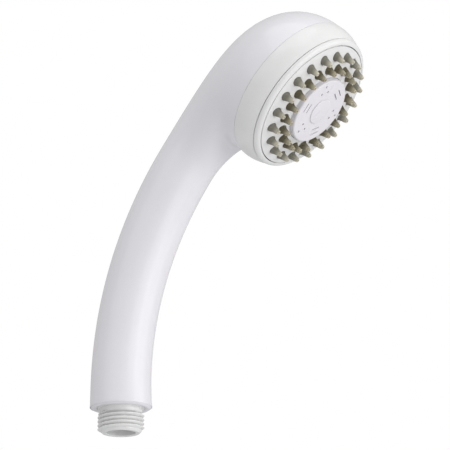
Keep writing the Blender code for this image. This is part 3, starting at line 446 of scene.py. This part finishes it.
def combine(obj, tool, operation):
    """Joins a tool solid to the object, or cuts it away, and removes the tool."""
    modifier = obj.modifiers.new("combine", "BOOLEAN")
    modifier.operation = operation
    modifier.solver = "EXACT"
    modifier.object = tool
    bpy.context.view_layer.update()
    evaluated = obj.evaluated_get(bpy.context.evaluated_depsgraph_get())
    mesh = bpy.data.meshes.new_from_object(evaluated)
    old = obj.data
    obj.modifiers.remove(modifier)
    obj.data = mesh
    mesh.name = obj.name
    bpy.data.meshes.remove(old)
    bpy.data.objects.remove(tool)


def complete(context, obj, slot, body, stands_for, sharp=35, edge=0.0, finish=None):
    """Smooth shading, a rounded edge, the finish, and what the piece rides on and stands for."""
    mesh = obj.data
    mesh.materials.clear()
    mesh.materials.append(finish_of(context, finish or slot))
    mesh.shade_smooth()
    mesh.set_sharp_from_angle(angle=math.radians(sharp))
    if edge:
        bevel = obj.modifiers.new("rounded_edges", "BEVEL")
        bevel.width = edge
        bevel.segments = 3
        bevel.limit_method = "ANGLE"
        bevel.angle_limit = math.radians(sharp)
        bevel.harden_normals = True
    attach(obj, body)
    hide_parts(stands_for)


# Shape of the shell
def bezier(points, t):
    a, b, c, d = points
    return (1 - t) ** 3 * a + 3 * (1 - t) ** 2 * t * b + 3 * (1 - t) * t * t * c + t**3 * d


def bezier_direction(points, t):
    a, b, c, d = points
    slope = (1 - t) ** 2 * (b - a) + 2 * (1 - t) * t * (c - b) + t * t * (d - c)
    return slope.normalized()


def rear_of(direction):
    """The direction square to this one in the plane X = 0, towards the back of the handset."""
    return Vector((0, direction.z, -direction.y))


def section_matrix(rear, front):
    """The frame of a round section whose rearmost and foremost points are these."""
    across = (rear - front).normalized()
    turn_to = Matrix((ACROSS, across, ACROSS.cross(across))).transposed().to_4x4()
    return Matrix.Translation((rear + front) / 2) @ turn_to


class ShellShape:
    """The handle's centre line, and the head's rear and front outlines from the neck to the seam."""

    def __init__(self, handset, face):
        self.sizes = handset
        seam_radius = face.radius + face.rim_width + face.seam_swell
        seam_centre = FACE_CENTRE - face.seam_depth * SPRAY_AXIS
        chin = seam_centre - seam_radius * FACE_UP
        crown = seam_centre + seam_radius * FACE_UP
        neck = chin - Vector((0, -handset.chin_reach, handset.chin_rise))
        lean = Vector((0, -math.sin(handset.neck_lean), math.cos(handset.neck_lean)))
        rise = neck.z - HANDLE_FOOT.z
        rear = neck + handset.neck_radius * rear_of(lean)
        front = neck - handset.neck_radius * rear_of(lean)
        foot_handle = HANDLE_FOOT + Vector((0, 0, handset.foot_pull * rise))
        self.handle = (HANDLE_FOOT, foot_handle, neck - handset.neck_pull * rise * lean, neck)
        rear_lead = rear + handset.rear_lead * seam_radius * lean
        rear_land = crown - handset.rear_land * seam_radius * SPRAY_AXIS
        self.rear = (rear, rear_lead, rear_land, crown)
        front_lead = front + handset.front_lead * handset.chin_reach * lean
        front_land = chin - handset.front_land * handset.chin_reach * SPRAY_AXIS
        self.front = (front, front_lead, front_land, chin)

    def handle_radius(self, t):
        """The handle narrows from its end to its waist and widens to the neck."""
        ends = self.sizes.end_radius * (1 - t) * (1 - 2 * t) + self.sizes.neck_radius * t * (2 * t - 1)
        return ends + 4 * self.sizes.waist_radius * t * (1 - t)

    def rounded_end(self):
        """The rounded lower edge of the handle, from its opening outwards."""
        sections = []
        rounding = self.sizes.end_rounding
        for i in range(LIP_STEPS):
            angle = i / LIP_STEPS * math.pi / 2
            lift = Vector((0, 0, rounding * (1 - math.cos(angle))))
            radius = self.sizes.end_radius - rounding * (1 - math.sin(angle))
            sections.append((Matrix.Translation(HANDLE_FOOT + lift), radius))
        return sections

    def sections(self, inset, handle_steps, head_steps):
        """(matrix, radius) of each round section from above the handle's end to the seam, moved in by inset."""
        found = []
        for i in range(1, handle_steps + 1):
            t = i / handle_steps
            centre = bezier(self.handle, t)
            reach = (self.handle_radius(t) - inset) * rear_of(bezier_direction(self.handle, t))
            found.append((section_matrix(centre + reach, centre - reach), reach.length))
        for i in range(1, head_steps + 1):
            t = i / head_steps
            rear = bezier(self.rear, t) - inset * rear_of(bezier_direction(self.rear, t))
            front = bezier(self.front, t) + inset * rear_of(bezier_direction(self.front, t))
            found.append((section_matrix(rear, front), (rear - front).length / 2))
        return found


# Handset
class SHOWER_OT_handle_body(bpy.types.Operator):
    """Builds the hollow handle and the back of the head"""

    bl_idname = "shower.handle_body"
    bl_label = "Handle Body"

    def execute(self, context):
        handset = context.scene.shower_handset
        shape = ShellShape(handset, context.scene.shower_face)
        outside = shape.rounded_end() + shape.sections(0, HANDLE_STEPS, HEAD_STEPS)
        lining = shape.sections(handset.wall, LINING_STEPS, LINING_STEPS)
        draw_in = handset.wall / 8
        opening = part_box("inlet_o_ring")[1].x + context.scene.shower_inlet.clearance / 2
        foot = (Matrix.Translation(HANDLE_FOOT) @ moved_to(0, 0, draw_in), opening)
        last = (lining[-1][0] @ moved_to(0, 0, -draw_in), lining[-1][1])
        wall = skinned(outside + ([foot] + lining[:-1] + [last])[::-1], SHELL_SEGMENTS)
        body = mesh_object("handle_body", wall, Matrix.Identity(4))
        complete(context, body, "white_plastic", "handset", "handle_shell", sharp=50)
        return {"FINISHED"}


class SHOWER_OT_head_band(bpy.types.Operator):
    """Builds the collar that closes the head behind the spray face"""

    bl_idname = "shower.head_band"
    bl_label = "Head Band"

    def execute(self, context):
        face = context.scene.shower_face
        rim = face.radius + face.rim_width
        front = -face.rim_drop - face.gap
        back = -face.seam_depth + face.seam_gap
        inside = rim - 0.4 * face.rim_width
        spigot = rim + face.seam_swell - 1.35 * context.scene.shower_handset.wall
        profile = []
        for i in range(CURVE_STEPS + 1):
            t = i / CURVE_STEPS
            radius = rim + face.seam_swell * t + 4 * face.collar_bulge * t * (1 - t)
            profile.append((radius, front + (back - front) * t))
        reach = back - face.rim_width
        profile += [(spigot, back), (spigot, reach), (spigot - face.rim_width / 2, reach)]
        profile += [(inside - face.rim_width, back), (inside, front - face.skirt_depth), (inside, front)]
        band = mesh_object("head_band", turned(profile, RING_SEGMENTS), HEAD_FRAME)
        complete(context, band, "white_plastic", "handset", "head_collar", edge=0.0001, finish="face_plastic")
        return {"FINISHED"}


class SHOWER_OT_threaded_inlet(bpy.types.Operator):
    """Builds the hose inlet with its pipe thread, neck and bore"""

    bl_idname = "shower.threaded_inlet"
    bl_label = "Threaded Inlet"

    def execute(self, context):
        inlet = context.scene.shower_inlet
        root = inlet.thread_radius - inlet.thread_depth
        seal_foot, seal_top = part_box("inlet_o_ring")
        shoulder = seal_top.x
        groove = shoulder - (seal_top.z - seal_foot.z) - inlet.clearance
        start = HANDLE_FOOT.z + inlet.recess
        end = start + inlet.shoulder_length
        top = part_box("inlet_connector")[1].z
        tube_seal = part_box("lower_tube_o_ring")
        socket = tube_seal[1].x
        socket_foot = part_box("water_tube")[0].z - inlet.clearance
        waterway = inlet.bore / 2
        profile = [
            (inlet.bore + inlet.lip / 3, 0),
            (root - inlet.lip, 0),
            (root, inlet.lip),
            (root, inlet.thread_length),
            (inlet.neck_radius, inlet.thread_length + inlet.lip / 3),
            (inlet.neck_radius, start),
            (shoulder, start),
            (shoulder, seal_foot.z - inlet.clearance),
            (groove, seal_foot.z - inlet.clearance),
            (groove, seal_top.z + inlet.clearance),
            (shoulder, seal_top.z + inlet.clearance),
            (shoulder, end),
            (inlet.stem_radius, end),
            (inlet.stem_radius, top),
            (socket, top),
            (socket, socket_foot),
            (waterway, socket_foot),
            (waterway, inlet.bore_depth),
            (inlet.bore, inlet.bore_depth),
            (inlet.bore, inlet.lip / 3),
        ]
        body = mesh_object("threaded_inlet", turned(profile, THREAD_SEGMENTS), Matrix.Identity(4))
        ridge = mesh_object("thread", self.ridge(inlet, root), Matrix.Identity(4))
        combine(body, ridge, "UNION")
        complete(
            context, body, "white_plastic", "handset", "inlet_connector", sharp=40, finish="face_plastic"
        )
        return {"FINISHED"}

    def ridge(self, inlet, root):
        """One helical ridge with a rounded crest, which fades into the core at both ends."""
        pitch = inlet.thread_pitch
        turns = inlet.thread_length / pitch - 0.9
        low = 0.5 * pitch
        sink = inlet.thread_depth / 2
        crest = arc((inlet.thread_radius - 0.14 * pitch, low), 0.14 * pitch, -62, 62, 6)
        profile = [(root - sink, low - 0.47 * pitch), (root, low - 0.44 * pitch), *crest]
        profile += [(root, low + 0.44 * pitch), (root - sink, low + 0.47 * pitch)]
        climb = turns * pitch
        bm = turned(profile, round(turns * THREAD_SEGMENTS), angle=math.tau * turns, climb=climb)
        for vert in bm.verts:
            radius = vert.co.xy.length
            share_up = (vert.co.z - low) / climb
            fade = min(1, max(0, share_up * turns * 1.6 + 0.5), max(0, (1 - share_up) * turns * 1.6 + 0.5))
            kept = root - sink + (radius - root + sink) * fade
            vert.co.xy *= kept / radius
        return bm


# Turning spray face
class SHOWER_OT_face_rim(bpy.types.Operator):
    """Builds the rounded rim that the hand turns"""

    bl_idname = "shower.face_rim"
    bl_label = "Face Rim"

    def execute(self, context):
        face = context.scene.shower_face
        inside = face.radius + face.gap / 2
        width = face.rim_width - face.gap / 2
        profile = []
        for i in range(CURVE_STEPS + 1):
            angle = i / CURVE_STEPS * math.pi / 2
            profile.append((inside + width * math.sin(angle), face.rim_drop * (math.cos(angle) - 1)))
        skirt = inside + 0.45 * width
        profile += [(skirt, -face.rim_drop), (skirt, -face.skirt_depth), (inside, -face.skirt_depth)]
        rim = mesh_object("face_rim", turned(profile, RING_SEGMENTS), HEAD_FRAME)
        complete(
            context, rim, "white_plastic", "spray_selector", "selector_ring", edge=0.00014, finish="face_plastic"
        )
        return {"FINISHED"}


def dome(face, radius):
    """How far the face plate's front stands out at this radius."""
    return face.crown * (1 - (radius / face.radius) ** 2)


def nozzle_rings(face):
    """(radius, first angle) of the outer and the inner ring of nozzles."""
    outer = face.radius - face.nozzle_margin
    half_step = math.pi / face.nozzle_count
    return (outer, math.pi / 2 + half_step), (outer - face.nozzle_spacing, math.pi / 2)


def disc_radius(face):
    return nozzle_rings(face)[1][0] - face.disc_margin


class SHOWER_OT_spray_plate(bpy.types.Operator):
    """Builds the domed front plate with a round hole for each nozzle"""

    bl_idname = "shower.spray_plate"
    bl_label = "Spray Plate"

    def execute(self, context):
        face = context.scene.shower_face
        inside = disc_radius(face) + face.gap / 2
        outside = face.radius - face.gap / 2
        back = -4 * face.gap
        profile = []
        for i in range(CURVE_STEPS + 1):
            radius = inside + (outside - inside) * i / CURVE_STEPS
            profile.append((radius, dome(face, radius)))
        profile += [(outside, -face.skirt_depth), (outside - 5 * face.gap, -face.skirt_depth)]
        profile += [(outside - 5 * face.gap, back), (inside, back)]
        plate = mesh_object("spray_plate", turned(profile, RING_SEGMENTS), HEAD_FRAME)
        places = [place for radius, first in nozzle_rings(face) for place in ring_places(radius, face.nozzle_count, first)]
        hole = turned(plug_profile(face.nozzle_radius + face.gap / 2, 2 * back, 2 * face.crown), NOZZLE_SEGMENTS)
        combine(plate, mesh_object("holes", copies(hole, places), HEAD_FRAME), "DIFFERENCE")
        complete(context, plate, "white_plastic", "spray_selector", "face_plate", finish="face_plastic")
        return {"FINISHED"}


def nozzle_profile(face, foot, base):
    """Half the outline of one nozzle: a flared cone with a rounded shoulder, a short round tip, and its bore."""
    tip = base + face.nozzle_length
    cone = 0.7 * face.nozzle_length
    corner = 0.0003
    lip = 0.0003
    points = [(0, foot), (face.nozzle_radius, foot)]
    for i in range(7):
        t = i / 6
        flare = (1 - t) ** 1.6
        radius = face.nozzle_shoulder + (face.nozzle_radius - face.nozzle_shoulder) * flare
        points.append((radius, base + 0.0001 + cone * t))
    points += arc((face.nozzle_shoulder - corner, base + cone + 0.0001), corner, 20, 80, 4)
    points += arc((face.nozzle_tip - lip, tip - lip), lip, 0, 80, 5)
    points += [(face.nozzle_bore, tip - 0.0001), (face.nozzle_bore, tip - 0.0022), (0, tip - 0.0022)]
    return points


class SHOWER_OT_nozzles(bpy.types.Operator):
    """Builds the two rubber rings with their nozzles"""

    bl_idname = "shower.nozzles"
    bl_label = "Nozzles"

    def execute(self, context):
        face = context.scene.shower_face
        for (radius, first), name in zip(nozzle_rings(face), ("outer", "inner")):
            self.ring(context, face, name, radius, first)
        return {"FINISHED"}

    def ring(self, context, face, name, radius, first):
        front = -5 * face.gap
        back = front - face.nozzle_radius / 1.2
        half = face.nozzle_spacing / 2 - face.gap
        base = dome(face, radius)
        web = turned(tube_profile(radius - half, radius + half, back, front), RING_SEGMENTS)
        mat = mesh_object(f"{name}_nozzles", web, HEAD_FRAME)
        nozzle = turned(nozzle_profile(face, (front + back) / 2, base), NOZZLE_SEGMENTS)
        places = ring_places(radius, face.nozzle_count, first)
        combine(mat, mesh_object("cones", copies(nozzle, places), HEAD_FRAME), "UNION")
        # The rise from foot to tip drives the painted shade at the foot and the painted highlight at the tip.
        rise = mat.data.attributes.new("rise", "FLOAT", "POINT")
        into_head = HEAD_FRAME.inverted()
        heights = [(into_head @ vert.co).z for vert in mat.data.vertices]
        rise.data.foreach_set("value", [(height - base) / face.nozzle_length for height in heights])
        # Each ring gets its own copy of the rubber: the outer painted lit, the inner painted shaded.
        complete(
            context, mat, "nozzle_rubber", "spray_selector", f"{name}_nozzle_mat", sharp=50, finish=f"{name}_rubber"
        )


class SHOWER_OT_jet_disc(bpy.types.Operator):
    """Builds the raised disc with its groups of round jets and its pairs of slits"""

    bl_idname = "shower.jet_disc"
    bl_label = "Jet Disc"

    def execute(self, context):
        face = context.scene.shower_face
        radius = disc_radius(face)
        top = face.disc_rise
        rounding = face.disc_rounding
        floor = top - 2 * face.cap_rise
        wall = 2 * rounding
        seat = face.cap_radius - 2 * face.gap
        back = -5 * face.gap
        profile = [(0, floor), (seat, floor), (seat, top)]
        profile += arc((radius - rounding, top - rounding), rounding, 90, 0, 10)
        profile += [(radius, back), (radius - wall, back), (radius - wall, top - wall)]
        profile += [(seat + wall / 2, top - wall), (seat + wall / 2, floor - wall / 2), (0, floor - wall / 2)]
        disc = mesh_object("jet_disc", turned(profile, RING_SEGMENTS), HEAD_FRAME)
        ring = 0.7 * radius
        first = math.radians(132)
        third = math.tau / 3
        jets = []
        slits = []
        for group in range(3):
            centre = moved_to(*around(ring, first + group * third))
            turn_to = Matrix.Rotation(first + group * third, 4, "Z")
            jets += [centre @ turn_to @ place for place in ring_places(0.2 * ring, 3)]
            aside = Matrix.Rotation(first + (group + 0.5) * third, 4, "Z")
            slits += [aside @ moved_to(share_out * ring, 0) for share_out in (0.87, 1.1)]
        low = top - 1.5 * wall
        jet = turned(plug_profile(face.jet_radius, low, top + wall), JET_SEGMENTS)
        combine(disc, mesh_object("jets", copies(jet, jets), HEAD_FRAME), "DIFFERENCE")
        slit = self.slit(face.slit_radius, 0.21 * ring, low, top + wall)
        combine(disc, mesh_object("slits", copies(slit, slits), HEAD_FRAME), "DIFFERENCE")
        complete(context, disc, "cool_white_plastic", "spray_selector", "centre_disc")
        return {"FINISHED"}

    def slit(self, half_width, half_length, low, high):
        """A slot with round ends, along Y."""
        bm = turned(plug_profile(half_width, low, high), JET_SEGMENTS)
        for vert in bm.verts:
            if abs(vert.co.y) > half_width / 10:
                vert.co.y += math.copysign(half_length - half_width, vert.co.y)
        return bm


class SHOWER_OT_pivot_cap(bpy.types.Operator):
    """Builds the round cap over the pivot screw"""

    bl_idname = "shower.pivot_cap"
    bl_label = "Pivot Cap"

    def execute(self, context):
        face = context.scene.shower_face
        edge_height = face.disc_rise + 0.45 * face.cap_rise
        top = face.disc_rise + 0.8 * face.cap_rise
        rounding = face.cap_rounding
        foot = face.disc_rise - 1.6 * face.cap_rise
        plug = face.cap_radius - 3 * face.gap
        flat = face.cap_radius - rounding
        profile = [(0, foot), (plug, foot), (plug, face.disc_rise + face.gap / 3)]
        profile += [(face.cap_radius, face.disc_rise + face.gap / 3)]
        profile += arc((flat, edge_height - rounding), rounding, 0, 80, 8)
        for i in range(1, CURVE_STEPS + 1):
            t = 1 - i / CURVE_STEPS
            profile.append((flat * t, top - (top - edge_height) * t * t))
        cap = mesh_object("pivot_cap", turned(profile, RING_SEGMENTS), HEAD_FRAME)
        complete(context, cap, "cool_white_plastic", "spray_selector", "centre_cap")
        return {"FINISHED"}


# Inner pieces
class SHOWER_OT_inner_pieces(bpy.types.Operator):
    """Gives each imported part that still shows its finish"""

    bl_idname = "shower.inner_pieces"
    bl_label = "Inner Pieces"

    def execute(self, context):
        slots = {row["node"]: row["material_slot"] for row in frame["record"]["subparts"]}
        for name, obj in frame["nodes"].items():
            if obj.hide_render:
                continue
            obj.data.materials.clear()
            obj.data.materials.append(finish_of(context, slots[name]))
        return {"FINISHED"}


# Stage
SOFTBOX_SIZE = 1.0
SOFTBOXES = {"side": (1.1, 0.15, 0.25), "top": (0, 1.1, 0.1), "front": (0.9, 0.1, 0.9), "fill": (-0.7, 0.8, 0.5)}


class StageSettings(bpy.types.PropertyGroup):
    azimuth: FloatProperty(
        name="Azimuth", description="Camera's turn about the object", default=math.radians(-66.70), unit="ROTATION"
    )
    elevation: FloatProperty(
        name="Elevation", description="Camera's height above the object", default=math.radians(-16.27), unit="ROTATION"
    )
    roll: FloatProperty(name="Roll", description="Camera's roll", default=math.radians(-0.23), unit="ROTATION")
    distance: length("Distance", "From the camera to what it looks at", 1.2)
    lens: FloatProperty(name="Lens", description="Focal length in millimetres", default=214.89)
    look_at: FloatVectorProperty(
        name="Look At",
        description="The point in the middle of the view",
        default=(-0.00535, -0.05338, 0.08915),
        size=3,
        unit="LENGTH",
    )
    floor_drop: length("Floor Drop", "How far the floor lies below the object", 0.55)
    floor_glow: share("Floor Glow", "How much the floor is brightened for the camera", 0.22)
    sky: share("Sky", "Strength of the even light from all round", 0.525)
    side: FloatProperty(name="Side", description="Power of the light at the side, in watts", default=4.15)
    top: FloatProperty(name="Top", description="Power of the light above, in watts", default=3.4)
    front: FloatProperty(name="Front", description="Power of the light in front, in watts", default=3.25)
    fill: FloatProperty(name="Fill", description="Power of the light at the other side, in watts", default=1.4)


class SHOWER_OT_stage(bpy.types.Operator):
    """Sets the floor, the soft lights and the camera"""

    bl_idname = "shower.stage"
    bl_label = "Stage"

    def execute(self, context):
        settings = context.scene.shower_stage
        self.floor(context, settings)
        self.sky(context, settings)
        view = self.camera(context, settings)
        target = Vector(settings.look_at)
        for name, place in SOFTBOXES.items():
            self.softbox(context, name, target + view @ Vector(place), target, getattr(settings, name))
        context.scene.view_settings.view_transform = "Standard"
        return {"FINISHED"}

    def floor(self, context, settings):
        bm = bmesh.new()
        bmesh.ops.create_grid(bm, x_segments=1, y_segments=1, size=6)
        floor = mesh_object("floor", bm, moved_to(0, 0, CAD_BOX[0].z - settings.floor_drop))
        material, shader = new_material("floor")
        links = material.node_tree.links
        tint = context.scene.shower_colours.floor
        cloud = object_noise(material, 3)
        links.new(blended(material, cloud, scaled(tint, 0.98), scaled(tint, 1.02)), shader.inputs["Base Color"])
        shader.inputs["Roughness"].default_value = 0.8
        path = material.node_tree.nodes.new("ShaderNodeLightPath")
        glow = remap(material, path.outputs["Is Camera Ray"], 0, settings.floor_glow)
        links.new(glow, shader.inputs["Emission Strength"])
        floor.data.materials.append(material)

    def sky(self, context, settings):
        """White where the camera looks past the object, and a softer even light on it."""
        world = bpy.data.worlds.new("studio")
        world.use_nodes = True
        context.scene.world = world
        nodes, links = world.node_tree.nodes, world.node_tree.links
        background = nodes["Background"]
        background.inputs["Color"].default_value = (1, 1, 1, 1)
        path = nodes.new("ShaderNodeLightPath")
        strength = nodes.new("ShaderNodeMapRange")
        strength.inputs["To Min"].default_value = settings.sky
        strength.inputs["To Max"].default_value = 1
        links.new(path.outputs["Is Camera Ray"], strength.inputs["Value"])
        links.new(strength.outputs["Result"], background.inputs["Strength"])

    def camera(self, context, settings):
        """The camera, and the turn of its view: X right, Y up, Z towards it."""
        a, e = settings.azimuth, settings.elevation
        back = Vector((math.sin(a) * math.cos(e), -math.cos(a) * math.cos(e), math.sin(e)))
        data = bpy.data.cameras.new("camera")
        data.lens = settings.lens
        data.clip_start = 0.01
        data.clip_end = 50
        camera = bpy.data.objects.new("camera", data)
        context.scene.collection.objects.link(camera)
        turn_to = (-back).to_track_quat("-Z", "Y").to_matrix().to_4x4()
        place = Matrix.Translation(Vector(settings.look_at) + settings.distance * back)
        camera.matrix_world = place @ turn_to @ Matrix.Rotation(settings.roll, 4, "Z")
        context.scene.camera = camera
        return turn_to.to_3x3()

    def softbox(self, context, name, place, target, power):
        light = bpy.data.lights.new(name, "AREA")
        light.shape = "SQUARE"
        light.size = SOFTBOX_SIZE
        light.energy = power
        box = bpy.data.objects.new(name, light)
        context.scene.collection.objects.link(box)
        aim = (target - place).to_track_quat("-Z", "Y")
        box.matrix_world = Matrix.Translation(place) @ aim.to_matrix().to_4x4()


# The add-on
STEPS = (
    SHOWER_OT_handle_body,
    SHOWER_OT_head_band,
    SHOWER_OT_threaded_inlet,
    SHOWER_OT_face_rim,
    SHOWER_OT_spray_plate,
    SHOWER_OT_nozzles,
    SHOWER_OT_jet_disc,
    SHOWER_OT_pivot_cap,
    SHOWER_OT_inner_pieces,
    SHOWER_OT_stage,
)
SETTINGS = {
    "shower_handset": HandsetSizes,
    "shower_face": FaceSizes,
    "shower_inlet": InletSizes,
    "shower_colours": Colours,
    "shower_stage": StageSettings,
}


class SHOWER_PT_panel(bpy.types.Panel):
    """Lists the pieces and their sizes"""

    bl_label = "Shower Head"
    bl_space_type = "VIEW_3D"
    bl_region_type = "UI"
    bl_category = "Shower Head"

    def draw(self, context):
        for step in STEPS:
            self.layout.operator(step.bl_idname)
        for name, group in SETTINGS.items():
            box = self.layout.box()
            for field in group.__annotations__:
                box.prop(getattr(context.scene, name), field)


CLASSES = (*SETTINGS.values(), *STEPS, SHOWER_PT_panel)


def register():
    for cls in CLASSES:
        bpy.utils.register_class(cls)
    for name, group in SETTINGS.items():
        setattr(bpy.types.Scene, name, PointerProperty(type=group))


def unregister():
    for name in SETTINGS:
        delattr(bpy.types.Scene, name)
    for cls in reversed(CLASSES):
        bpy.utils.unregister_class(cls)


def main():
    register()
    for step in STEPS:
        getattr(bpy.ops.shower, step.bl_idname.split(".")[1])()


if __name__ == "__main__":
    main()
